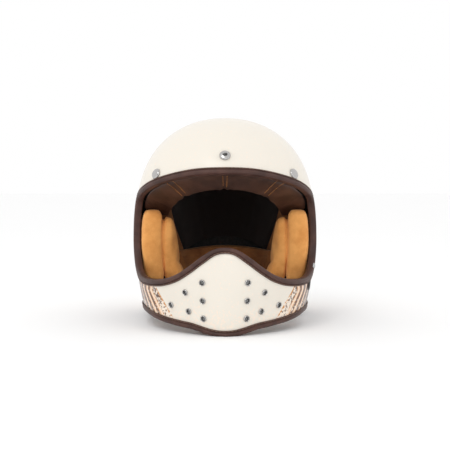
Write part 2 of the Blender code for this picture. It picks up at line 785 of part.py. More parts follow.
def main():
    clear_scene()
    outer_shell()
    edge_trim("eye_port_trim", True, brown_trim())
    edge_trim("neck_edge_trim", False, brown_trim())
    impact_liner()
    crown_liner()
    side_liner("side_liner_left", -1)
    side_liner("side_liner_right", 1)
    neck_roll()
    brow_pad()
    chin_bar_foam()
    vent_mesh("vent_mesh_left", slice(1, 8))
    vent_mesh("vent_mesh_right", slice(AROUND - 7, AROUND))
    cheek_pieces()
    vent_eyelets()
    peak_studs()
    strap_rivets()
    chin_strap()
    centre_on_origin()


main()
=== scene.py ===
"""Looks of a retro full-face enduro helmet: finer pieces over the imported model, materials, light and camera.

The form's formulas are the model's own. Points are worked out round the widest section, and mesh_of
moves them into the frame.
"""

import math

import bmesh
import bpy
import numpy as np
from mathutils import Matrix, Vector


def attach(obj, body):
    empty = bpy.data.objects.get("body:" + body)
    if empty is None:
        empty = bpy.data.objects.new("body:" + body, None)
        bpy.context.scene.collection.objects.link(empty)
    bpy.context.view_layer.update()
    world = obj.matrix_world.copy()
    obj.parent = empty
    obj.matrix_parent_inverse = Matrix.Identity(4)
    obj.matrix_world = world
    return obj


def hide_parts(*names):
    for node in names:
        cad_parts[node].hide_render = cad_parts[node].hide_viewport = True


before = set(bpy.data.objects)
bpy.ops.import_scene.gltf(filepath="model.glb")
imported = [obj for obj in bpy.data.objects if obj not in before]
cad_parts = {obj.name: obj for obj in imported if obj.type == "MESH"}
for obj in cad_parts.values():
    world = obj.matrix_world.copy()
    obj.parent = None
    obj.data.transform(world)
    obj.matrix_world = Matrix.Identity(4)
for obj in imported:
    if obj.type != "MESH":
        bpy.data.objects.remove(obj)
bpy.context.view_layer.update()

# Driving dimensions of the shell, in metres, as in the model
HEIGHT = 0.2748
HALF_WIDTH = 0.1230
WIDEST_Z = 0.115
BROW_REACH = 0.141
CHIN_REACH = 0.186
BACK_REACH = 0.158
CHIN_FULL_Z = 0.095
CHIN_FADE_Z = 0.160
SHELL_THICKNESS = 0.0035
EDGE_ARCH = 0.0180
EDGE_LIFT = 0.0011
CENTRE = np.array([0.0, 0.0, WIDEST_Z])
FRAME_SHIFT_Y = 0.0142
PLAN_POWER = 2.25
CROWN_RISE_POWER = 2.75
CROWN_OUT_POWER = 2.1
SIDE_TUCK = 0.145
BACK_TUCK = 0.20
CHIN_TUCK = 0.035
BEVEL_ANGLE = math.radians(35)
BEVEL_HALF_PANEL = 0.019
BEVEL_FADE = 0.10
BEVEL_SOFTNESS = 22

# Lattice: FINER of its columns stand for one of the model's
FINER = 4
AROUND = 64 * FINER
TOP = AROUND // 2
ROWS = 128
FINE = 640
PORT_TILT = math.radians(15)
SHELL_ROWS = 96
CAD_ROWS = 16
EDGE_BAND = 0.009

# Layers, as depths below the shell's outer surface
LINER_DEPTHS = (0.0055, 0.0310)
COMFORT_DEPTHS = (0.0330, 0.0400)
NECK_ROLL_DEPTHS = (0.0345, 0.0480)
CHIN_FOAM_DEPTHS = (0.0092, 0.0230)
VENT_MESH_DEPTHS = (0.0062, 0.0072)

# How far up from the neck's edge the neck roll lies
NECK_ROLL_SPAN = (0.016, 0.088)

# Brow pad and cheek pads
BROW_DISTANCES, BROW_DEPTHS = (0.0025, 0.0215), (0.0090, 0.0465)
BROW_COLUMNS = 14.2 * FINER
BROW_SQUARENESS = 0.62
BROW_END_TAPER = 0.12
EDGE_ROLL_Y, EDGE_ROLL_Z, EDGE_ROLL_DEPTHS = (-0.0480, -0.0170), (0.0520, 0.1500), (0.0085, 0.0362)
CHEEK_Y, CHEEK_Z, CHEEK_PAD_DEPTHS = (-0.0430, 0.0340), (0.0520, 0.1450), (0.0332, 0.0535)
CHEEK_LEAN = 0.012
CHEEK_TOP_SLOPE = 0.35

# Fittings
GAP = 0.0004
VENT_HOLE_RADIUS = 0.0034
EYELET_FLANGE_RADIUS = 0.0041
STUD_RADIUS = 0.0072
STUD_HOLE_RADIUS = 0.0032
STRAP_AXIS_Z = 0.070
STRAP_WIDTH = 0.024
STRAP_THICKNESS = 0.0018
RING_WIRE_RADIUS = 0.0018
RING_BAR_X, RING_UPPER_Z, RING_LOWER_Z = 0.0265, 0.0156, 0.0111
ANCHOR_X, ANCHOR_THICKNESS = 0.1077, 0.0015

# Port edge as (azimuth in degrees from -Y, height), from its bottom centre to its top centre
PORT_EDGE = [
    (0, 0.1065), (4.5, 0.1037), (9.5, 0.0935), (15, 0.0810), (22, 0.0695), (31.5, 0.0630), (47, 0.0620),
    (60, 0.0685), (68, 0.0810), (72.5, 0.0975), (74, 0.1200), (74, 0.1450), (70.5, 0.1650), (58.5, 0.1765),
    (39, 0.1893), (18.5, 0.1978), (0, 0.1998),
]

# Vents as (across, height)
VENTS = [
    (0.0277, 0.0655), (0.0270, 0.0430), (0.0262, 0.0210),
    (0.0487, 0.0520), (0.0445, 0.0285), (0.0670, 0.0345),
]

# How far out of the shell and into it its holes are cut
HOLE_CUT = (0.008, -0.010)

# Height of the centre stud, and the other studs and the grommet as (azimuth, height)
CENTRE_STUD_Z = 0.2205
SIDE_STUD = (46.5, 0.1975)
STEEL_STUD = (64.3, 0.0754)
GROMMET = (54.5, 0.0538)

# Strap's way in under the chin, on the wearer's left, as (x, z)
STRAP_DROP = [(0.1030, 0.0300), (0.0940, 0.0205), (0.0800, 0.0155), (0.0640, 0.0140)]

# Trim section as (over the shell, out of it): a rolled outer leg, a rounded bead and an inner leg
TRIM_PROFILE = [
    (0.0056, GAP), (0.0063, 0.0008), (0.0059, 0.0015), (0.0051, 0.0017), (0.0044, 0.0013), (0.0039, 0.0007),
    (0.0034, 0.0013), (0.0026, 0.0020), (0.0012, 0.0024), (-0.0004, 0.0021), (-0.0016, 0.0013),
    (-0.0022, 0.0000), (-0.0023, -0.0018), (-0.0021, -0.0045), (-0.0020, -0.0062), (-0.0015, -0.0073),
    (-0.0005, -0.0077), (0.0030, -0.0076), (0.0045, -0.0072), (0.0045, -0.0054), (-GAP, -0.0042), (-GAP, GAP),
]
STITCH_TRACK = (0.0052, 0.0017)
STITCH_SPACING, STITCH_LENGTH, STITCH_RADIUS = 0.0046, 0.0031, 0.00042

# Brow pad's seams, as x, each with a row of stitches at SEAM_MARGIN on both sides
BROW_SEAMS = (-0.065, 0.0, 0.065)
SEAM_MARGIN = 0.0028
SEAM_WIDTH, SEAM_PULL = 0.0035, 0.085
PUCKER_DEPTH, PUCKER_RADIUS, PUCKER_WIDTH = 0.0006, 0.011, 0.014
BROW_STITCH_SPACING, BROW_STITCH_LENGTH = 0.0030, 0.0022

# Painted panel: its front rim's azimuth at a height and how it changes with height, its top and its back
PANEL_FRONT, PANEL_FRONT_Z, PANEL_FRONT_SLOPE = 23.5, 0.0176, 264
PANEL_TOP_Z, PANEL_TOP_FALL, METRES_PER_DEGREE = 0.168, 0.0005, 0.0022
PANEL_BACK = 152
PANEL_CORNERS = 1.5
PINCH, PINCH_Z, PINCH_RISE = 3.6, 0.048, 0.012

# The panel's pale stripes, in degrees behind its front rim. The mesh's band attribute is BAND_START at the
# rim, and 1 more BAND_SPAN degrees behind it.
PALE_STRIPES = [(5.4, 7.3), (10.0, 11.9), (15.8, 17.2), (23.0, 24.0)]
STRIPE_EDGE = 0.5
BAND_START, BAND_SPAN = 0.1, 56.0
FRONT_WEAR, LOW_WEAR, LOW_WEAR_Z, LOW_WEAR_FADE = 0.12, 0.09, 0.050, 0.035

# Colours
CREAM = (0.83, 0.775, 0.685)
PEACH = (0.93, 0.70, 0.52)
ORANGE = (0.62, 0.26, 0.05)
STRIPE_BROWN = (0.090, 0.026, 0.010)
WORN_PAINT = (0.90, 0.78, 0.66)


def smooth(value):
    value = np.clip(value, 0.0, 1.0)
    return value * value * (3 - 2 * value)


def unit(vectors):
    return vectors / np.linalg.norm(vectors, axis=-1, keepdims=True)


def running_length(points):
    """How far each point lies along the line through them all."""
    return np.concatenate([[0], np.cumsum(np.linalg.norm(np.diff(points, axis=0), axis=1))])


def looked_up(wanted, places, rows):
    """Rows between those that are known at places."""
    return np.stack([np.interp(wanted, places, column) for column in rows.T], axis=-1)


def vertex_vectors(mesh, name="co"):
    values = np.empty(len(mesh.vertices) * 3)
    mesh.vertices.foreach_get(name, values)
    return values.reshape(-1, 3)


# The outer form

def form_level(points, depth=0.0):
    """Less than 1 inside the shell's form, which is drawn in by depth, and more than 1 outside it."""
    x, y, z = np.abs(points[..., 0]), points[..., 1], points[..., 2]
    rise = np.clip((z - WIDEST_Z) / (HEIGHT - depth - WIDEST_Z), 0, None)
    fall = np.clip((WIDEST_Z - z) / WIDEST_Z, 0, 1.5)
    chin = smooth((CHIN_FADE_Z - z) / (CHIN_FADE_Z - CHIN_FULL_Z))
    side = HALF_WIDTH * (1 - SIDE_TUCK * fall**2) - depth
    front = (BROW_REACH + (CHIN_REACH - BROW_REACH) * chin) * (1 - CHIN_TUCK * fall**2) - depth
    back = BACK_REACH * (1 - BACK_TUCK * fall**2) - depth
    along = np.where(y < 0, front, back)
    plan = ((x / side) ** PLAN_POWER + (np.abs(y) / along) ** PLAN_POWER) ** (1 / PLAN_POWER)
    fade = 1 + BEVEL_FADE * smooth((z - 0.25 * WIDEST_Z) / (0.65 * WIDEST_Z))
    bevel_reach = (BEVEL_HALF_PANEL * math.sin(BEVEL_ANGLE) + front * math.cos(BEVEL_ANGLE)) * fade
    bevel = np.clip((x * math.sin(BEVEL_ANGLE) - y * math.cos(BEVEL_ANGLE)) / bevel_reach, 0, None)
    plan = (plan**BEVEL_SOFTNESS + bevel**BEVEL_SOFTNESS) ** (1 / BEVEL_SOFTNESS)
    return plan**CROWN_OUT_POWER + rise**CROWN_RISE_POWER


def form_point(directions, depth=0.0, start=CENTRE):
    """Where rays from start meet the form."""
    near, far = np.zeros(directions.shape[:-1]), np.full(directions.shape[:-1], 0.4)
    for _ in range(30):
        middle = (near + far) / 2
        inside = form_level(start + directions * middle[..., None], depth) < 1
        near, far = np.where(inside, middle, near), np.where(inside, far, middle)
    return start + directions * near[..., None]


def form_at(azimuth, height, depth=0.0):
    """The form's point at an azimuth from -Y, in degrees, and a height."""
    angle = np.radians(azimuth)
    zero = np.zeros_like(angle)
    level = np.stack([np.sin(angle), -np.cos(angle), zero], axis=-1)
    start = np.stack([zero, zero, zero + height], axis=-1)
    return form_point(level, depth, start)


def form_normal(points):
    step = 1e-5
    slope = [form_level(points + step * axis) - form_level(points - step * axis) for axis in np.eye(3)]
    return unit(np.stack(slope, axis=-1))


# The lattice between the eye port's edge and the neck's edge

def even_half(half):
    """FINE + 1 points at even spacing along half a loop, from its bottom centre to its top centre."""
    length = running_length(half)
    return looked_up(np.linspace(0, length[-1], FINE + 1), length, half)


def catmull_rom(padded, places):
    """Points on the curve through padded[1:-1], whose first and last knots only set its end slopes."""
    found = []
    for place in places:
        index, t = int(place), place % 1
        a, b, c, d = padded[index:index + 4]
        bend, twist = 2 * a - 5 * b + 4 * c - d, 3 * b - a - 3 * c + d
        found.append(0.5 * (2 * b + (c - a) * t + bend * t**2 + twist * t**3))
    return np.array(found)


def port_half():
    knots = np.array(PORT_EDGE, float)
    padded = np.concatenate([[knots[1] * [-1, 1]], knots, [knots[-2] * [-1, 1]]])
    curve = catmull_rom(padded, np.linspace(0, len(knots) - 1 - 1e-9, FINE))
    return even_half(form_at(curve[:, 0], curve[:, 1]))


def neck_half():
    """Level at the chin and the nape, and arched up at the sides."""
    azimuth = np.linspace(0, 180, FINE)
    rise = 0.35 * smooth((azimuth - 1) / 15) + 0.65 * smooth((azimuth - 3) / 52)
    arch = rise * (1 - smooth((azimuth - 105) / 50))
    return even_half(form_at(azimuth, EDGE_LIFT + EDGE_ARCH * arch))


def to_plane(directions):
    """Stereographic map that opens the form out round the port: the port's edge lies outside the neck's."""
    ahead = -directions[..., 1] * math.cos(PORT_TILT) + directions[..., 2] * math.sin(PORT_TILT)
    up = directions[..., 2] * math.cos(PORT_TILT) + directions[..., 1] * math.sin(PORT_TILT)
    return np.stack([directions[..., 0], up], axis=-1) / (1 - ahead[..., None])


def from_plane(flat):
    size = (flat**2).sum(-1)
    across, up = 2 * flat[..., 0] / (1 + size), 2 * flat[..., 1] / (1 + size)
    ahead = (size - 1) / (size + 1)
    y = -ahead * math.cos(PORT_TILT) + up * math.sin(PORT_TILT)
    z = ahead * math.sin(PORT_TILT) + up * math.cos(PORT_TILT)
    return np.stack([across, y, z], axis=-1)


def build_lattice():
    """Unit directions [around, row] over the form, down straight lines of the plane from edge to edge."""
    port, neck = to_plane(unit(port_half() - CENTRE)), to_plane(unit(neck_half() - CENTRE))
    share = np.linspace(0, 1, ROWS + 1)[:, None]
    half = unit(from_plane(port[:, None] * (1 - share) + neck[:, None] * share))
    gaps = np.linalg.norm(np.diff(form_point(half), axis=0), axis=2)
    place = np.concatenate([[0], np.cumsum(gaps[:, 0] + gaps.max(axis=1))])
    wanted = np.interp(np.linspace(0, place[-1], AROUND // 2 + 1), place, np.arange(FINE + 1))
    low = np.minimum(wanted.astype(int), FINE - 1)
    part = (wanted - low)[:, None, None]
    side = unit(half[low] * (1 - part) + half[low + 1] * part)
    return np.concatenate([side, (side * [-1, 1, 1])[-2:0:-1]])


LATTICE = build_lattice()


def lane(column, distances):
    """Directions along a lattice column, at the metres from the port's edge that distances(length) gives."""
    first, part = int(math.floor(column)), column % 1
    directions = unit(LATTICE[first % AROUND] * (1 - part) + LATTICE[(first + 1) % AROUND] * part)
    length = running_length(form_point(directions))
    return unit(looked_up(distances(length[-1]), length, directions))


# Making objects

def place(name, mesh, look, body, nodes, slot):
    """A finished mesh becomes a piece of a body, in place of the model's nodes."""
    mesh.materials.clear()
    mesh.materials.append(look)
    mesh.shade_smooth()
    mesh.set_sharp_from_angle(angle=math.radians(50))
    obj = bpy.data.objects.new(name, mesh)
    bpy.context.scene.collection.objects.link(obj)
    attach(obj, body)
    if nodes:
        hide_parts(*nodes)
    return obj


def mesh_of(name, points, faces):
    """A mesh in the frame from points round the widest section, with its faces turned out."""
    mesh = bpy.data.meshes.new(name)
    mesh.from_pydata([tuple(point) for point in np.asarray(points) + [0, FRAME_SHIFT_Y, 0]], [], faces)
    work = bmesh.new()
    work.from_mesh(mesh)
    bmesh.ops.recalc_face_normals(work, faces=work.faces)
    work.to_mesh(mesh)
    work.free()
    return mesh


def grid_faces(rows, columns, offset=0, close_rows=False, close_columns=False):
    def at(row, column):
        return offset + (row % rows) * columns + column % columns

    last_row, last_column = rows - (not close_rows), columns - (not close_columns)
    return [
        (at(i, j), at(i + 1, j), at(i + 1, j + 1), at(i, j + 1))
        for i in range(last_row) for j in range(last_column)
    ]


def tube_parts(sections, closed, offset=0):
    """(points, faces) through sections [section, point, xyz], capped at both ends or closed on itself."""
    sections = np.asarray(sections, float)
    count, around = sections.shape[:2]
    faces = grid_faces(count, around, offset, closed, True)
    if not closed:
        faces.append(tuple(offset + index for index in range(around)))
        faces.append(tuple(offset + index for index in range((count - 1) * around, count * around)))
    return sections.reshape(-1, 3), faces


def tube(name, sections, closed=False):
    return mesh_of(name, *tube_parts(sections, closed))


def joined(name, parts):
    """One mesh of several (points, faces)."""
    points, faces, offset = [], [], 0
    for some_points, some_faces in parts:
        points.append(some_points)
        faces += [tuple(index + offset for index in face) for face in some_faces]
        offset += len(some_points)
    return mesh_of(name, np.concatenate(points), faces)


def wire_sections(route, radius, sides=8):
    """Round sections along an open route of points."""
    route = np.asarray(route, float)
    along = unit(np.gradient(route, axis=0))
    level = np.cross(along, [0.0, 0.0, 1.0])
    level = np.where(np.linalg.norm(level, axis=1, keepdims=True) < 1e-3, [1.0, 0.0, 0.0], level)
    aside = unit(level)
    above = np.cross(aside, along)
    turns = 2 * math.pi * (np.arange(sides) + 0.5) / sides
    return (
        route[:, None]
        + radius * np.cos(turns)[None, :, None] * aside[:, None]
        + radius * np.sin(turns)[None, :, None] * above[:, None]
    )


def turned_parts(profile, point, axis, sides=40, closed=False):
    """A turned piece whose profile of (radius, height) runs along axis from point."""
    turn_frame = np.array(Vector(axis).to_track_quat("Z", "Y").to_matrix())
    rim = np.array([entry for entry in profile if entry[0] > 0], float)
    angles = 2 * math.pi * np.arange(sides) / sides
    around = np.stack([np.cos(angles), np.sin(angles)], axis=1)
    local = np.concatenate([
        rim[None, :, :1] * around[:, None],
        np.broadcast_to(rim[None, :, 1:], (sides, len(rim), 1)),
    ], axis=2)
    points = np.asarray(point) + local.reshape(-1, 3) @ turn_frame.T
    faces = grid_faces(sides, len(rim), 0, True, closed)
    if not closed:
        faces.append(tuple(side * len(rim) for side in range(sides)))
        faces.append(tuple(side * len(rim) + len(rim) - 1 for side in range(sides)))
    return points, faces


# Materials

def new_material(name, color, roughness, metallic=0.0):
    look = bpy.data.materials.new(name)
    look.use_nodes = True
    shader = look.node_tree.nodes["Principled BSDF"]
    shader.inputs["Base Color"].default_value = (*color, 1)
    shader.inputs["Roughness"].default_value = roughness
    shader.inputs["Metallic"].default_value = metallic
    return look, look.node_tree, shader


def texture(tree, kind, scale, **settings):
    """A texture node on the piece's own coordinates."""
    coordinates = tree.nodes.new("ShaderNodeTexCoord")
    node = tree.nodes.new(kind)
    tree.links.new(coordinates.outputs["Object"], node.inputs["Vector"])
    node.inputs["Scale"].default_value = scale
    for key, value in settings.items():
        node.inputs[key.replace("_", " ").title()].default_value = value
    return node


def ramp(tree, source, stops, interpolation="LINEAR"):
    """Colours along source, from stops of (position, colour)."""
    node = tree.nodes.new("ShaderNodeValToRGB")
    node.color_ramp.interpolation = interpolation
    while len(node.color_ramp.elements) < len(stops):
        node.color_ramp.elements.new(0.5)
    for element, (position, color) in zip(node.color_ramp.elements, stops):
        element.position = position
        element.color = (*color, 1)
    tree.links.new(source, node.inputs["Fac"])
    return node.outputs["Color"]


def blended(tree, share, first, second):
    """A colour between two, which are sockets or constants."""
    node = tree.nodes.new("ShaderNodeMix")
    node.data_type = "RGBA"
    if isinstance(share, float):
        node.inputs["Factor"].default_value = share
    else:
        tree.links.new(share, node.inputs["Factor"])
    for socket, value in ((node.inputs["A"], first), (node.inputs["B"], second)):
        if isinstance(value, tuple):
            socket.default_value = (*value, 1)
        else:
            tree.links.new(value, socket)
    return node.outputs["Result"]


def bump(tree, shader, height, distance, strength=1.0):
    node = tree.nodes.new("ShaderNodeBump")
    node.inputs["Distance"].default_value = distance
    node.inputs["Strength"].default_value = strength
    tree.links.new(height, node.inputs["Height"])
    tree.links.new(node.outputs["Normal"], shader.inputs["Normal"])


def mottled(tree, shader, scale, dark, light, low=0.35, high=0.65):
    """A soft colour variation over the piece."""
    noise = texture(tree, "ShaderNodeTexNoise", scale, detail=4.0)
    color = ramp(tree, noise.outputs["Fac"], [(low, dark), (high, light)])
    tree.links.new(color, shader.inputs["Base Color"])


def painted_shell():
    """Satin cream paint with worn retro bands, which follow the mesh's band attribute."""
    look, tree, shader = new_material("cream_paint_bands", CREAM, 0.32)
    shader.inputs["Coat Weight"].default_value = 0.25
    shader.inputs["Coat Roughness"].default_value = 0.12
    band = tree.nodes.new("ShaderNodeAttribute")
    band.attribute_name = "band"
    turns = [(0.0, ORANGE), (2 * STRIPE_EDGE, STRIPE_BROWN)]
    for first, last in PALE_STRIPES:
        turns += [(first - STRIPE_EDGE, ORANGE), (first, PEACH)]
        turns += [(last, ORANGE), (last + STRIPE_EDGE, STRIPE_BROWN)]
    stops = [(0.0, CREAM)] + [(BAND_START + turn / BAND_SPAN, color) for turn, color in turns]
    bands = ramp(tree, band.outputs["Fac"], stops, "CONSTANT")
    worn = texture(tree, "ShaderNodeTexNoise", 300.0, detail=5.0, roughness=0.7)
    wear = tree.nodes.new("ShaderNodeAttribute")
    wear.attribute_name = "wear"
    total = tree.nodes.new("ShaderNodeMath")
    total.operation = "ADD"
    tree.links.new(worn.outputs["Fac"], total.inputs[0])
    tree.links.new(wear.outputs["Fac"], total.inputs[1])
    flecks = ramp(tree, total.outputs["Value"], [(0.60, (0, 0, 0)), (0.63, (1, 1, 1))])
    tree.links.new(blended(tree, flecks, bands, WORN_PAINT), shader.inputs["Base Color"])
    film = texture(tree, "ShaderNodeTexNoise", 90.0, detail=3.0)
    bump(tree, shader, film.outputs["Fac"], 0.00012, 0.25)
    return look


def leather(name, dark, light, roughness, grain=1100.0):
    look, tree, shader = new_material(name, light, roughness)
    mottled(tree, shader, 55.0, dark, light)
    shader.inputs["Specular IOR Level"].default_value = 0.35
    cells = texture(tree, "ShaderNodeTexVoronoi", grain, randomness=1.0)
    bump(tree, shader, cells.outputs["Distance"], 0.00025, 0.6)
    return look


def suede(name, dark, light):
    """Napped tan suede, with brushed patches and a soft sheen."""
    look, tree, shader = new_material(name, light, 0.92)
    patches = texture(tree, "ShaderNodeTexNoise", 38.0, detail=5.0, roughness=0.6)
    tone = ramp(tree, patches.outputs["Fac"], [(0.36, dark), (0.62, light)])
    nap = texture(tree, "ShaderNodeTexNoise", 2600.0, detail=2.0)
    fibres = ramp(tree, nap.outputs["Fac"], [(0.35, (0.72, 0.72, 0.72)), (0.65, (1.0, 1.0, 1.0))])
    node = tree.nodes.new("ShaderNodeMix")
    node.data_type = "RGBA"
    node.blend_type = "MULTIPLY"
    node.inputs["Factor"].default_value = 0.5
    tree.links.new(tone, node.inputs["A"])
    tree.links.new(fibres, node.inputs["B"])
    tree.links.new(node.outputs["Result"], shader.inputs["Base Color"])
    shader.inputs["Sheen Weight"].default_value = 0.18
    shader.inputs["Sheen Roughness"].default_value = 0.5
    shader.inputs["Sheen Tint"].default_value = (1.0, 0.75, 0.5, 1)
    bump(tree, shader, nap.outputs["Fac"], 0.0003, 0.35)
    return look


def woven(name, dark, light, scale, distance):
    """Two crossed waves, as warp and weft."""
    look, tree, shader = new_material(name, light, 0.85)
    waves = []
    for direction in ("X", "Z"):
        wave = texture(tree, "ShaderNodeTexWave", scale, distortion=0.4, detail=1.0)
        wave.bands_direction = direction
        waves.append(wave.outputs["Fac"])
    product = tree.nodes.new("ShaderNodeMath")
    product.operation = "MULTIPLY"
    tree.links.new(waves[0], product.inputs[0])
    tree.links.new(waves[1], product.inputs[1])
    color = ramp(tree, product.outputs["Value"], [(0.1, dark), (0.7, light)])
    tree.links.new(color, shader.inputs["Base Color"])
    shader.inputs["Sheen Weight"].default_value = 0.15
    bump(tree, shader, product.outputs["Value"], distance, 0.8)
    return look


def foam(name, dark, light, scale):
    look, tree, shader = new_material(name, light, 0.8)
    beads = texture(tree, "ShaderNodeTexVoronoi", scale, randomness=0.9)
    color = ramp(tree, beads.outputs["Distance"], [(0.2, light), (0.75, dark)])
    tree.links.new(color, shader.inputs["Base Color"])
    bump(tree, shader, beads.outputs["Distance"], -0.0004, 0.5)
    return look


def metal(name, color, roughness, scale, spread=0.10):
    """Bare metal whose roughness varies a little with handling."""
    look, tree, shader = new_material(name, color, roughness, 1.0)
    marks = texture(tree, "ShaderNodeTexNoise", scale, detail=5.0)
    low, high = (max(roughness - spread, 0.03),) * 3, (roughness + spread,) * 3
    tree.links.new(ramp(tree, marks.outputs["Fac"], [(0.3, low), (0.7, high)]), shader.inputs["Roughness"])
    bump(tree, shader, marks.outputs["Fac"], 0.00005, 0.2)
    return look


def moulded(name, color, roughness):
    look, tree, shader = new_material(name, color, roughness)
    grain = texture(tree, "ShaderNodeTexNoise", 1500.0, detail=2.0)
    bump(tree, shader, grain.outputs["Fac"], 0.0001, 0.5)
    mottled(tree, shader, 60.0, tuple(0.8 * part for part in color), color)
    return look


TRIM = leather("trim_leather", (0.048, 0.020, 0.015), (0.090, 0.039, 0.029), 0.46)
BROW = leather("brow_leather", (0.040, 0.016, 0.010), (0.080, 0.034, 0.021), 0.42, 900.0)
SUEDE = suede("tan_suede_nap", (0.78, 0.32, 0.078), (0.95, 0.44, 0.125))
# The inner liners' tan suede, much darker than SUEDE: its colour holds painted shade of the helmet's dark
# inside
SHADED_TAN_SUEDE = suede("tan_suede_nap_painted_shade", (0.24, 0.085, 0.022), (0.38, 0.15, 0.045))
THREAD = moulded("orange_thread", (0.62, 0.25, 0.06), 0.7)
TRIM_THREAD = moulded("trim_thread", (0.20, 0.12, 0.08), 0.7)
MESH_CLOTH = woven("dark_mesh_cloth", (0.003, 0.001, 0.001), (0.024, 0.011, 0.007), 260.0, 0.0006)
WEBBING = woven("dark_webbing", (0.006, 0.005, 0.004), (0.040, 0.032, 0.028), 240.0, 0.0004)
BEAD_FOAM = foam("dark_bead_foam", (0.006, 0.006, 0.006), (0.020, 0.019, 0.018), 260.0)
BLACK_FOAM = foam("dark_foam", (0.010, 0.010, 0.010), (0.035, 0.034, 0.033), 420.0)
PLASTIC = moulded("black_moulding", (0.030, 0.030, 0.030), 0.5)
CHROME = metal("worn_chrome", (0.50, 0.49, 0.48), 0.18, 300.0)
STEEL = metal("plated_steel", (0.50, 0.50, 0.50), 0.32, 500.0)


# Shell and trims

def vent_places():
    """(name, point, outward direction) of each vent, right half first."""
    found = []
    for side in (-1, 1):
        for across, height in VENTS:
            azimuth = math.degrees(math.atan2(across, CHIN_REACH * 0.92))
            for _ in range(8):
                point = form_at(np.array(azimuth), height)
                azimuth += math.degrees((across - point[0]) / CHIN_REACH)
            flip = np.array([side, 1, 1])
            found.append((f"chin_vent_eyelet_{len(found) + 1}", point * flip, form_normal(point) * flip))
    return found


def stud_places():
    centre = form_at(np.array(0.0), CENTRE_STUD_Z)
    side = form_at(np.array(SIDE_STUD[0]), SIDE_STUD[1])
    found = [("peak_stud_centre", centre, form_normal(centre))]
    for name, sign in (("peak_stud_left", 1), ("peak_stud_right", -1)):
        flip = np.array([sign, 1, 1])
        found.append((name, side * flip, form_normal(side) * flip))
    return found


def rivet_point(side):
    return form_at(np.array(90.0), STRAP_AXIS_Z) * [side, 0, 1]


def band_field(points):
    """The bands' coordinate: degrees of azimuth in from the painted panel's rim, less than 0 outside it."""
    x, y, z = np.abs(points[:, 0]), points[:, 1], points[:, 2]
    azimuth = np.degrees(np.arctan2(x, -y))
    from_front = azimuth - (PANEL_FRONT + PANEL_FRONT_SLOPE * (z - PANEL_FRONT_Z))
    from_top = (PANEL_TOP_Z - PANEL_TOP_FALL * np.clip(azimuth - 80, 0, 60) - z) / METRES_PER_DEGREE
    from_back = PANEL_BACK - azimuth
    near_front = smooth(from_front / 2) * (1 - smooth((azimuth - 60) / 10))
    pinch = PINCH * smooth((z - PINCH_Z) / PINCH_RISE) * near_front
    sides = np.stack([from_front + pinch, from_top, from_back])
    return -np.log(np.exp(-sides / PANEL_CORNERS).sum(axis=0)) * PANEL_CORNERS


def shell():
    sections = []
    for column in range(AROUND):
        outer = form_point(lane(column, lambda length: np.linspace(0, length, SHELL_ROWS + 1)))
        inner = outer - SHELL_THICKNESS * form_normal(outer)
        sections.append(np.concatenate([outer, inner[::-1]]))
    mesh = tube("shell", np.array(sections), closed=True)
    holes = [(point, normal, VENT_HOLE_RADIUS) for _, point, normal in vent_places()]
    holes += [(point, normal, STUD_HOLE_RADIUS) for _, point, normal in stud_places()]
    holes += [(rivet_point(side), np.array([side, 0, 0]), STUD_HOLE_RADIUS) for side in (-1, 1)]
    cutters = [
        turned_parts([(radius, height) for height in HOLE_CUT], point, normal, 32)
        for point, normal, radius in holes
    ]
    mesh = cut_by(mesh, joined("holes", cutters))
    points = vertex_vectors(mesh)
    field = band_field(points - [0, FRAME_SHIFT_Y, 0])
    front_band = smooth(field) * (1 - smooth(field - PALE_STRIPES[0][0] + 1))
    wear = FRONT_WEAR * front_band + LOW_WEAR * smooth((LOW_WEAR_Z - points[:, 2]) / LOW_WEAR_FADE)
    for name, values in (("band", np.clip(BAND_START + field / BAND_SPAN, 0, 1)), ("wear", wear)):
        attribute = mesh.attributes.new(name, "FLOAT", "POINT")
        attribute.data.foreach_set("value", values.astype(np.float32))
    place("shell_painted", mesh, painted_shell(), "helmet", ["outer_shell"], "cream_paint")


def cut_by(mesh, cutter_mesh):
    """The mesh with the cutter's holes in it."""
    target = bpy.data.objects.new("target", mesh)
    cutter = bpy.data.objects.new("cutter", cutter_mesh)
    for obj in (target, cutter):
        bpy.context.scene.collection.objects.link(obj)
    boolean = target.modifiers.new("holes", "BOOLEAN")
    boolean.object = cutter
    boolean.solver = "EXACT"
    found = evaluated(target)
    for obj in (target, cutter):
        bpy.data.objects.remove(obj)
    return found


def evaluated(obj):
    bpy.context.view_layer.update()
    graph = bpy.context.evaluated_depsgraph_get()
    return bpy.data.meshes.new_from_object(obj.evaluated_get(graph))


def edge_frames(row, from_port):
    """Edge points, and unit vectors over the shell and out of it, round one edge."""
    edge = form_point(LATTICE[:, row])
    along = np.roll(edge, -1, 0) - np.roll(edge, 1, 0)
    out = form_normal(edge)
    over = np.cross(along, out) if from_port else np.cross(out, along)
    return edge, unit(over), out, unit(along)


def stitches(tracks, length, radius):
    """Short round stitches, each centred at a point and along a direction."""
    shape = np.array([(-0.5, 0.4), (-0.36, 0.9), (0.0, 1.0), (0.36, 0.9), (0.5, 0.4)])
    turns = 2 * math.pi * np.arange(6) / 6
    parts = []
    for point, along, out in tracks:
        ring = np.outer(np.cos(turns), np.cross(along, out)) + np.outer(np.sin(turns), out)
        sections = [point + along * length * step + radius * size * ring for step, size in shape]
        parts.append(tube_parts(sections, False))
    return parts


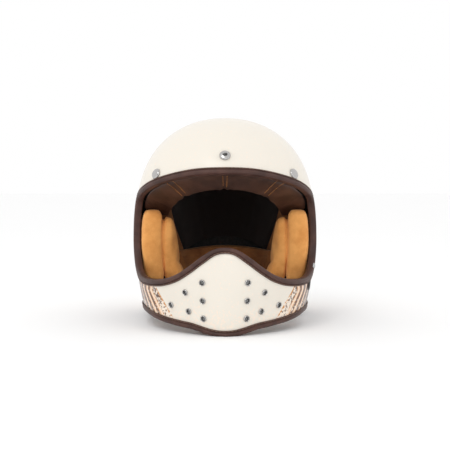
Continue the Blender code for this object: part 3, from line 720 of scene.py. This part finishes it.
def trim(name, row, from_port):
    """A leather channel over one edge, with a stitched line along its outer leg."""
    edge, over, out, along = edge_frames(row, from_port)
    profile = np.array(TRIM_PROFILE)
    sections = edge[:, None] + profile[None, :, :1] * over[:, None] + profile[None, :, 1:] * out[:, None]
    if not from_port:
        sections[..., 2] = np.maximum(sections[..., 2], 0)
    place(name + "_leather", tube(name, sections, closed=True), TRIM, "helmet", [name], "brown_trim")
    track = edge + STITCH_TRACK[0] * over + STITCH_TRACK[1] * out
    length = running_length(np.concatenate([track, track[:1]]))
    rows = []
    for spot in np.interp(np.arange(0, length[-1], STITCH_SPACING), length, np.arange(AROUND + 1)):
        low, part = int(spot) % AROUND, spot % 1
        high = (low + 1) % AROUND
        mix = [first[low] * (1 - part) + first[high] * part for first in (track, along, out)]
        rows.append((mix[0], unit(mix[1]), unit(mix[2])))
    thread = joined(name, stitches(rows, STITCH_LENGTH, STITCH_RADIUS))
    place(name + "_stitches", thread, TRIM_THREAD, "helmet", [], "brown_trim")


# Liners

def row_distance(index):
    """The distance(length) of one of the model's rows, which are negative when counted from the neck."""
    share = (index - 1) / CAD_ROWS if index > 0 else 1 + (index + 2) / CAD_ROWS
    return lambda length: EDGE_BAND + share * (length - 2 * EDGE_BAND)


def patch(name, columns, start, stop, depths, rows=40, swell=0.0, ripple=None):
    """A padded layer over part of the form, between two depths, with its rims drawn in."""
    outer, inner = [], []
    count = len(columns)
    for index, column in enumerate(columns):
        rays = lane(column, lambda length: np.linspace(start(length), stop(length), rows))
        across = 2 * index / (count - 1) - 1
        down = np.linspace(-1, 1, rows)
        rim = np.clip(1 - np.maximum(abs(across), np.abs(down)), 0, 1)
        plump = np.minimum(rim / 0.12, 1) ** 0.5
        depth = depths[0] + (depths[1] - depths[0]) * (0.45 + 0.55 * plump) + swell * plump
        if ripple is not None:
            depth = depth + ripple(across, down) * plump
        outer.append(np.array([form_point(ray, depths[0]) for ray in rays]))
        inner.append(np.array([form_point(ray, level) for ray, level in zip(rays, depth)]))
    sections = np.concatenate([np.array(outer), np.array(inner)[:, ::-1]], axis=1)
    return tube(name, sections)


def drawn_in(first, last, step=1.0, seam=0.12):
    """Fine columns between two of the model's, drawn in at both ends by the seam's share of a column."""
    return np.arange(FINER * (first + seam), FINER * (last - seam) + 1e-6, step)


def crown_ripple(across, down):
    """Channels down the crown's mesh pad."""
    return -0.0012 * np.exp(-((abs(across) - 0.42) / 0.035) ** 2) * np.ones_like(down)


def liners():
    top = TOP // FINER
    columns = drawn_in(top - 10, top + 10, 2.0)
    beads = patch("impact", columns, row_distance(2), row_distance(-3), LINER_DEPTHS, 48)
    place("impact_liner_beads", beads, BEAD_FOAM, "helmet", ["impact_liner"], "black_foam")
    columns = drawn_in(top - 6, top + 6)
    crown = patch("crown", columns, row_distance(2), row_distance(-5), COMFORT_DEPTHS, 56,
                  ripple=crown_ripple)
    place("crown_liner_mesh", crown, MESH_CLOTH, "helmet", ["crown_liner"], "dark_mesh")
    # The side liners take the darker tan suede, whose colour is painted shade
    for side, first, last in (("left", top - 10, top - 6), ("right", top + 6, top + 10)):
        columns = drawn_in(first, last, 0.5)
        band = patch(f"side_{side}", columns, row_distance(3), row_distance(-5), COMFORT_DEPTHS, swell=0.001)
        name = f"side_liner_{side}"
        place(name + "_suede", band, SHADED_TAN_SUEDE, "helmet", [name], "tan_suede")
    # The neck roll takes the darker tan suede too, whose colour is painted shade
    columns = np.arange(FINER * (top - 10), FINER * (top + 10) + 1, 1.0)
    low, high = NECK_ROLL_SPAN
    roll = patch("roll", columns, lambda length: length - high, lambda length: length - low, NECK_ROLL_DEPTHS,
                 28, swell=0.002, ripple=roll_seam)
    place("neck_roll_suede", roll, SHADED_TAN_SUEDE, "helmet", ["neck_roll"], "tan_suede")
    columns = np.arange(-9 * FINER, 9 * FINER + 1, 1.0)
    chin = patch("chin", columns, row_distance(1), row_distance(-2), CHIN_FOAM_DEPTHS, 24)
    place("chin_bar_foam_cells", chin, BLACK_FOAM, "helmet", ["chin_bar_foam"], "black_foam")
    for side, first, last in (("left", 1, 7), ("right", -7, -1)):
        name = f"vent_mesh_{side}"
        columns = np.arange(FINER * first, FINER * last + 1, 1.0)
        net = patch(name, columns, row_distance(2), row_distance(-3), VENT_MESH_DEPTHS, 24)
        place(name + "_net", net, MESH_CLOTH, "helmet", [name], "dark_mesh")


def roll_seam(across, down):
    """Two seams along the neck roll, and one down it."""
    along = np.exp(-((np.abs(down) - 0.45) / 0.05) ** 2)
    return -0.0018 * np.maximum(along, math.exp(-((across - 0.2) / 0.02) ** 2))


# Brow pad

def brow_ring(share, points=36):
    """One section of the brow pad, at a share of its half length from the middle."""
    middle = np.array([sum(BROW_DISTANCES), sum(BROW_DEPTHS)]) / 2
    half = np.array([BROW_DISTANCES[1] - BROW_DISTANCES[0], BROW_DEPTHS[1] - BROW_DEPTHS[0]]) / 2
    turns = np.linspace(0, 2 * math.pi, points, endpoint=False) + math.pi / points
    circle = np.stack([np.cos(turns), np.sin(turns)], axis=1)
    size = 1 - BROW_END_TAPER * abs(share) ** 8
    distances, depths = (middle + half * size * np.sign(circle) * np.abs(circle) ** BROW_SQUARENESS).T
    rays = lane(TOP + BROW_COLUMNS * share, lambda length: distances)
    return np.array([form_point(ray, depth) for ray, depth in zip(rays, depths)])


def brow_pad():
    """A leather roll that is drawn in along its seams, with a double row of stitches on each."""
    sections = []
    shares = np.linspace(-1, 1, 181)
    rings = [brow_ring(share) for share in shares]
    for ring in rings:
        centre = ring.mean(axis=0)
        beside = min(abs(centre[0] - x) for x in BROW_SEAMS)
        seam = math.exp(-((beside / SEAM_WIDTH) ** 2))
        pucker = PUCKER_DEPTH * math.sin(centre[0] * 520) * math.exp(-((beside / PUCKER_WIDTH) ** 2))
        pull = 1 - SEAM_PULL * seam + pucker / PUCKER_RADIUS
        sections.append(centre + (ring - centre) * pull)
    place("brow_pad_leather", tube("brow", np.array(sections)), BROW, "helmet", ["brow_pad"], "brown_leather")
    tracks = []
    for x in BROW_SEAMS:
        for offset in (-SEAM_MARGIN, SEAM_MARGIN):
            index = int(np.argmin([abs(ring.mean(axis=0)[0] - x - offset) for ring in rings]))
            tracks += stitch_row(sections[index])
    thread = joined("brow_stitches", stitches(tracks, BROW_STITCH_LENGTH, STITCH_RADIUS))
    place("brow_pad_stitches", thread, THREAD, "helmet", [], "brown_leather")


def stitch_row(ring):
    """(point, direction, outward) of stitches over the front and lower face of one section."""
    centre = ring.mean(axis=0)
    length = running_length(ring)
    found = []
    for spot in np.arange(0, length[-1], BROW_STITCH_SPACING):
        point = looked_up(spot, length, ring)
        ahead = looked_up(spot + 0.001, length, ring)
        out = unit(point - centre)
        if out[1] < 0.25 and np.linalg.norm(ahead - point) > 1e-5:
            found.append((point + out * 0.0001, unit(ahead - point), out))
    return found


# Cheek pads

def wall_point(y, z, depth):
    """A point at a depth in from the left side wall, measured along X."""
    wall = form_point(np.array([1.0, 0.0, 0.0]), 0.0, np.array([0.0, y, z]))
    return wall - [depth, 0, 0]


def cushion(name, span_y, span_z, depths, lean=0.0, slope=0.0, power=5.5, around=60, up=40):
    """A rounded block along the left wall, as in the model."""
    low = np.array([span_y[0], span_z[0], depths[0]])
    half = (np.array([span_y[1], span_z[1], depths[1]]) - low) / 2
    middle = low + half
    rings = []
    for row in range(up + 1):
        tilt = math.pi * (row + 0.5) / (up + 1) - math.pi / 2
        ring = []
        for step in range(around):
            turn = 2 * math.pi * (step + 0.5) / around
            level = math.cos(tilt)
            ball = np.array([level * math.cos(turn), math.sin(tilt), level * math.sin(turn)])
            y, z, depth = middle + half * ball / (np.abs(ball) ** power).sum() ** (1 / power)
            inwards = smooth((depth - depths[0]) / (depths[1] - depths[0]))
            depth += lean * inwards * smooth((span_z[0] + 0.030 - z) / 0.030)
            z -= slope * (y - span_y[0]) * (z - span_z[0]) / (span_z[1] - span_z[0])
            ring.append(wall_point(y, z, depth))
        rings.append(ring)
    return tube(name, np.array(rings))


def filled(mesh, pressure, most):
    """The mesh filled like a cushion by a cloth simulation, with no point moved further than most."""
    obj = bpy.data.objects.new("filled", mesh)
    bpy.context.scene.collection.objects.link(obj)
    remesh = obj.modifiers.new("even", "REMESH")
    remesh.mode = "VOXEL"
    remesh.voxel_size = 0.0045
    start = evaluated(obj)
    obj.modifiers.clear()
    obj.data = start
    before = vertex_vectors(start)
    moved = simulated(obj, pressure) - before
    reach = np.linalg.norm(moved, axis=1, keepdims=True)
    after = before + moved * np.minimum(1, most / np.maximum(reach, 1e-9))
    start.vertices.foreach_set("co", after.reshape(-1))
    softer = obj.modifiers.new("softer", "SUBSURF")
    softer.levels = 1
    softer.render_levels = 1
    found = evaluated(obj)
    bpy.data.objects.remove(obj)
    return found


def simulated(obj, pressure):
    """Where the object's points are after 20 frames of cloth under pressure."""
    cloth = obj.modifiers.new("cloth", "CLOTH")
    cloth.settings.quality = 6
    cloth.settings.mass = 0.2
    cloth.settings.tension_stiffness = 12
    cloth.settings.compression_stiffness = 12
    cloth.settings.bending_stiffness = 0.6
    cloth.settings.use_pressure = True
    cloth.settings.uniform_pressure_force = pressure
    cloth.settings.effector_weights.gravity = 0
    cloth.point_cache.frame_start = 1
    cloth.point_cache.frame_end = 20
    for step in range(1, 21):
        bpy.context.scene.frame_set(step)
    after = vertex_vectors(evaluated(obj))
    bpy.context.scene.frame_set(1)
    obj.modifiers.clear()
    return after


def mirrored(mesh):
    twin = mesh.copy()
    twin.transform(Matrix.Scale(-1, 4, (1, 0, 0)))
    twin.flip_normals()
    return twin


def seamed(mesh, level, depth, width):
    """Draws the mesh in along the line where level is 0, as a seam does."""
    points = vertex_vectors(mesh)
    groove = depth * np.exp(-(level(points) / width) ** 2)
    points = points - vertex_vectors(mesh, "normal") * groove[:, None]
    mesh.vertices.foreach_set("co", points.reshape(-1))
    mesh.update()
    return mesh


def cheek_pads():
    pad = cushion("cheek", CHEEK_Y, CHEEK_Z, CHEEK_PAD_DEPTHS, CHEEK_LEAN, CHEEK_TOP_SLOPE)
    pad = filled(pad, 4.0, 0.005)
    pad = seamed(pad, lambda points: points[:, 0] - 0.083, 0.0016, 0.0018)
    roll = filled(cushion("edge", EDGE_ROLL_Y, EDGE_ROLL_Z, EDGE_ROLL_DEPTHS), 3.0, 0.004)
    roll = seamed(roll, lambda points: points[:, 1] + 0.0050 + FRAME_SHIFT_Y, 0.0012, 0.0016)
    for side in ("left", "right"):
        for mesh, name in ((pad, "cheek_pad"), (roll, "cheek_edge")):
            own = mesh if side == "left" else mirrored(mesh)
            node = f"{name}_{side}"
            place(node + "_suede", own, SUEDE, "helmet", [node], "tan_suede")


# Metal fittings

def eyelets():
    barrel, bore = VENT_HOLE_RADIUS - 0.0003, VENT_HOLE_RADIUS - 0.0008
    profile = [
        (bore, 0.0006), (bore + 0.0002, 0.0013), (bore + 0.0007, 0.0017),
        (EYELET_FLANGE_RADIUS - 0.0006, 0.0016), (EYELET_FLANGE_RADIUS - 0.0001, 0.0011),
        (EYELET_FLANGE_RADIUS, GAP), (barrel, GAP), (barrel, -0.0050), (bore, -0.0050),
    ]
    for name, point, normal in vent_places():
        mesh = joined(name, [turned_parts(profile, point, normal, 32, closed=True)])
        place(name + "_chrome", mesh, CHROME, "helmet", [name], "chrome")
    wires = []
    for _, point, normal in vent_places():
        aside = unit(np.cross(normal, [0.3, 0.0, 1.0]))
        above = np.cross(aside, normal)
        middle = point - normal * 0.0012
        for first, second in ((aside, above), (above, aside)):
            for step in (-0.0011, 0.0, 0.0011):
                ends = [middle + second * step + first * reach * (bore + 0.0003) for reach in (-1, 0, 1)]
                wires.append(tube_parts(wire_sections(ends, 0.00022, 6), False))
    place("vent_wires", joined("vent_wires", wires), STEEL, "helmet", [], "steel")


def studs():
    shank = STUD_HOLE_RADIUS - 0.0006
    profile = [
        (0.0008, 0.0034), (0.0030, 0.0034), (0.0042, 0.0032), (0.0047, 0.0029), (0.0052, 0.0030),
        (0.0060, 0.0026), (0.0067, 0.0019), (STUD_RADIUS, 0.0011), (STUD_RADIUS, GAP),
        (shank, GAP), (shank, -0.0045),
    ]
    for name, point, normal in stud_places():
        mesh = joined(name, [turned_parts(profile, point, normal, 48)])
        place(name + "_chrome", mesh, CHROME, "helmet", [name], "chrome")


def rivets():
    shank = STUD_HOLE_RADIUS - 0.0006
    profile = [
        (0.0006, 0.0029), (0.0024, 0.0027), (0.0040, 0.0022), (0.0050, 0.0016), (0.0055, 0.0009),
        (shank, 0.0009), (shank, -0.0130), (0.0052, -0.0130), (0.0052, -0.0138), (0.0046, -0.0144),
    ]
    for name, side in (("strap_rivet_left", 1), ("strap_rivet_right", -1)):
        mesh = joined(name, [turned_parts(profile, rivet_point(side), (side, 0, 0), 40)])
        place(name + "_steel", mesh, STEEL, "helmet", [name], "steel")


def side_fittings():
    """A small metal stud, and a dark oval grommet under it, on the wearer's left."""
    point = form_at(np.array(STEEL_STUD[0]), STEEL_STUD[1])
    profile = [(0.0006, 0.0034), (0.0026, 0.0030), (0.0036, 0.0022), (0.0040, 0.0010), (0.0040, GAP)]
    mesh = joined("side_stud", [turned_parts(profile, point, form_normal(point), 32)])
    place("side_stud_steel", mesh, STEEL, "helmet", [], "steel")
    point = form_at(np.array(GROMMET[0]), GROMMET[1])
    out = form_normal(point)
    profile = [(0.0008, 0.0014), (0.0034, 0.0018), (0.0048, 0.0012), (0.0052, GAP)]
    points, faces = turned_parts(profile, point, out, 40)
    points = points + np.outer(points[:, 2] - point[2], [0, 0, 0.7])
    mesh = joined("side_grommet", [(points, faces)])
    place("side_grommet_rubber", mesh, PLASTIC, "helmet", [], "black_plastic")


# Chin strap

def softened(path, finer=5):
    """The path with rounded corners."""
    path = np.array(path, float)
    padded = np.concatenate([[2 * path[0] - path[1]], path, [2 * path[-1] - path[-2]]])
    return catmull_rom(padded, np.linspace(0, len(path) - 1 - 1e-9, (len(path) - 1) * finer + 1))


def ribbon(name, path, width, thickness, lift=0.0, power=8.0, sides=28):
    """A flat band with rounded edges along a path of (x, z), lifted off it to the path's left."""
    path = softened(path)
    along = unit(np.gradient(path, axis=0))
    across = np.stack([-along[:, 1], along[:, 0]], axis=1)
    turns = 2 * math.pi * (np.arange(sides) + 0.5) / sides
    circle = np.stack([np.cos(turns), np.sin(turns)], axis=1)
    rim = circle / (np.abs(circle) ** power).sum(axis=1, keepdims=True) ** (1 / power)
    sections = []
    for (x, z), (dx, dz) in zip(path, across):
        reach = lift + rim[:, 1] * thickness / 2
        sections.append(np.stack([x + dx * reach, rim[:, 0] * width / 2, z + dz * reach], axis=1))
    return tube(name, np.array(sections))


def arc(centre, radius, first, last, count):
    turns = np.radians(np.linspace(first, last, count))
    return [(centre[0] + radius * math.cos(turn), centre[1] + radius * math.sin(turn)) for turn in turns]


def strap_hook():
    """The strap's path round the edge of its anchor plate."""
    middle = ANCHOR_X + ANCHOR_THICKNESS / 2
    radius = ANCHOR_THICKNESS / 2 + STRAP_THICKNESS / 2 + 0.0002
    bend = arc((middle, 0.0476), radius, 0, 180, 7)
    return [(middle + radius, 0.0410)] + bend + [(middle - radius, 0.0400)]


def strap_paths():
    """The short strap's path round both rings' bars and back, and the long strap's to its loose end."""
    x, reach = RING_BAR_X, RING_WIRE_RADIUS + 0.0004 + STRAP_THICKNESS / 2
    short = strap_hook() + STRAP_DROP + [(0.0440, 0.0165), (x + 0.0050, RING_UPPER_Z + reach)]
    short += arc((x, RING_UPPER_Z), reach, 90, 180, 4) + arc((x, RING_LOWER_Z), reach, 180, 270, 4)
    short += [(x + 0.0050, RING_LOWER_Z - reach), (0.0440, 0.0105), (0.0540, 0.0112)]
    long = [(-x, z) for x, z in strap_hook() + STRAP_DROP]
    long += [
        (-0.0420, 0.0118), (-0.0200, 0.0080), (-0.0020, 0.0058), (0.0075, 0.0062), (0.0125, 0.0092),
        (0.0165, 0.0150), (0.0195, 0.0205), (0.0240, 0.0245), (0.0330, 0.0258), (0.0460, 0.0225),
        (0.0580, 0.0195),
    ]
    return short, long


def straps():
    short, long = strap_paths()
    for name, path in (("strap_short", short), ("strap_long", long)):
        mesh = ribbon(name, path, STRAP_WIDTH, STRAP_THICKNESS)
        place(name + "_webbing", mesh, WEBBING, "chin_strap", [name], "webbing")
    pad = ribbon("strap_pad", STRAP_DROP[1:], 0.032, 0.005, -(STRAP_THICKNESS / 2 + 0.0005 + 0.0025), 3.0)
    for side in ("left", "right"):
        own = pad if side == "left" else mirrored(pad)
        name = f"strap_pad_{side}"
        place(name + "_suede", own, SUEDE, "chin_strap", [name], "tan_suede")
    profile = [(0.0006, 0.0025), (0.0020, 0.0024), (0.0034, 0.0020), (0.0045, 0.0014), (0.0050, 0.0004)]
    stud = joined("end", [turned_parts(profile, (0.0520, 0, 0.0216), (0.26, 0, 0.966), 32)])
    place("strap_end_stud_chrome", stud, CHROME, "chin_strap", ["strap_end_stud"], "chrome")


def d_rings():
    """Each D-ring lies level, with its straight bar along Y in the short strap's loop."""
    half, reach, squareness = 0.0148, 0.0215, 0.55
    route = [(RING_BAR_X, y) for y in np.linspace(-half + 0.0030, half - 0.0030, 9)]
    for turn in np.radians(np.linspace(0, 180, 61)):
        across, out = math.cos(turn), math.sin(turn)
        x = RING_BAR_X - 0.0010 - (reach - 0.0010) * out**squareness
        route.append((x, half * math.copysign(abs(across) ** squareness, across)))
    route = np.array(route)
    along = unit(np.roll(route, -1, 0) - np.roll(route, 1, 0))
    turns = 2 * math.pi * (np.arange(16) + 0.5) / 16
    out = RING_WIRE_RADIUS * np.cos(turns)
    for level, height in (("upper", RING_UPPER_Z), ("lower", RING_LOWER_Z)):
        name = f"d_ring_{level}"
        sections = [
            np.stack([x + dy * out, y - dx * out, height + RING_WIRE_RADIUS * np.sin(turns)], axis=1)
            for (x, y), (dx, dy) in zip(route, along)
        ]
        place(name + "_steel", tube(name, sections, closed=True), STEEL, f"{level}_ring", [name], "steel")


def kept_nodes():
    """The model's own pieces that stay: their edges are eased, and each gets its finish."""
    for side in ("left", "right"):
        for name, look in (("strap_anchor", STEEL), ("cheek_core", BLACK_FOAM), ("cheek_plate", PLASTIC)):
            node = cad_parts[f"{name}_{side}"]
            node.data.materials.clear()
            node.data.materials.append(look)
            ease = node.modifiers.new("eased", "BEVEL")
            ease.width = 0.0003
            ease.segments = 2
            ease.limit_method = "ANGLE"


# Studio

def area_light(name, place_at, aim, size, power):
    data = bpy.data.lights.new(name, "AREA")
    data.shape = "SQUARE"
    data.size = size
    data.energy = power
    light = bpy.data.objects.new(name, data)
    light.location = place_at
    light.rotation_euler = (Vector(aim) - Vector(place_at)).to_track_quat("-Z", "Y").to_euler()
    bpy.context.scene.collection.objects.link(light)


def dark_flag(name, middle, across, up):
    """A dark card that the camera doesn't see, for the metal to reflect."""
    look, _, _ = new_material(name, (0.02, 0.02, 0.02), 0.9)
    middle, across, up = Vector(middle), Vector(across), Vector(up)
    mesh = bpy.data.meshes.new(name)
    corners = [middle - across - up, middle + across - up, middle + across + up, middle - across + up]
    mesh.from_pydata(corners, [], [(0, 1, 2, 3)])
    mesh.materials.append(look)
    card = bpy.data.objects.new(name, mesh)
    card.visible_camera = False
    bpy.context.scene.collection.objects.link(card)


def studio():
    scene = bpy.context.scene
    scene.view_settings.view_transform = "Standard"
    world = bpy.data.worlds.new("studio")
    world.use_nodes = True
    world.node_tree.nodes["Background"].inputs["Color"].default_value = (1.0, 1.0, 1.0, 1)
    world.node_tree.nodes["Background"].inputs["Strength"].default_value = 1.0
    scene.world = world
    floor_look, _, shader = new_material("pale_floor", (0.98, 0.98, 0.98), 0.9)
    shader.inputs["Specular IOR Level"].default_value = 0.1
    floor = bpy.data.meshes.new("floor")
    floor.from_pydata([(-8, -6, 0), (8, -6, 0), (8, 12, 0), (-8, 12, 0)], [], [(0, 1, 2, 3)])
    floor.materials.append(floor_look)
    floor_object = bpy.data.objects.new("floor", floor)
    scene.collection.objects.link(floor_object)
    area_light("key", (-0.7, -1.6, 1.8), (0, 0, 0.13), 1.0, 9)
    area_light("front", (0.2, -2.2, 0.6), (0, 0, 0.12), 0.8, 4)
    dark_flag("flag_behind", (0, -2.6, 0.45), (0.9, 0, 0), (0, 0, 0.45))
    dark_flag("flag_above", (0, -0.85, 2.0), (0.45, 0, 0), (0, 0.28, 0))


def camera():
    """Nearly level, about 1.35 m away, a little above the helmet's middle."""
    data = bpy.data.cameras.new("camera")
    data.lens = 77.8
    data.sensor_width = 36
    eye = bpy.data.objects.new("camera", data)
    eye.location = (0.0, FRAME_SHIFT_Y - 1.350, 0.190)
    eye.rotation_euler = (math.radians(90 - 2.66), 0, 0)
    bpy.context.scene.collection.objects.link(eye)
    bpy.context.scene.camera = eye


def main():
    studio()
    camera()
    shell()
    trim("eye_port_trim", 0, True)
    trim("neck_edge_trim", ROWS, False)
    liners()
    brow_pad()
    cheek_pads()
    eyelets()
    studs()
    rivets()
    side_fittings()
    straps()
    d_rings()
    kept_nodes()


main()
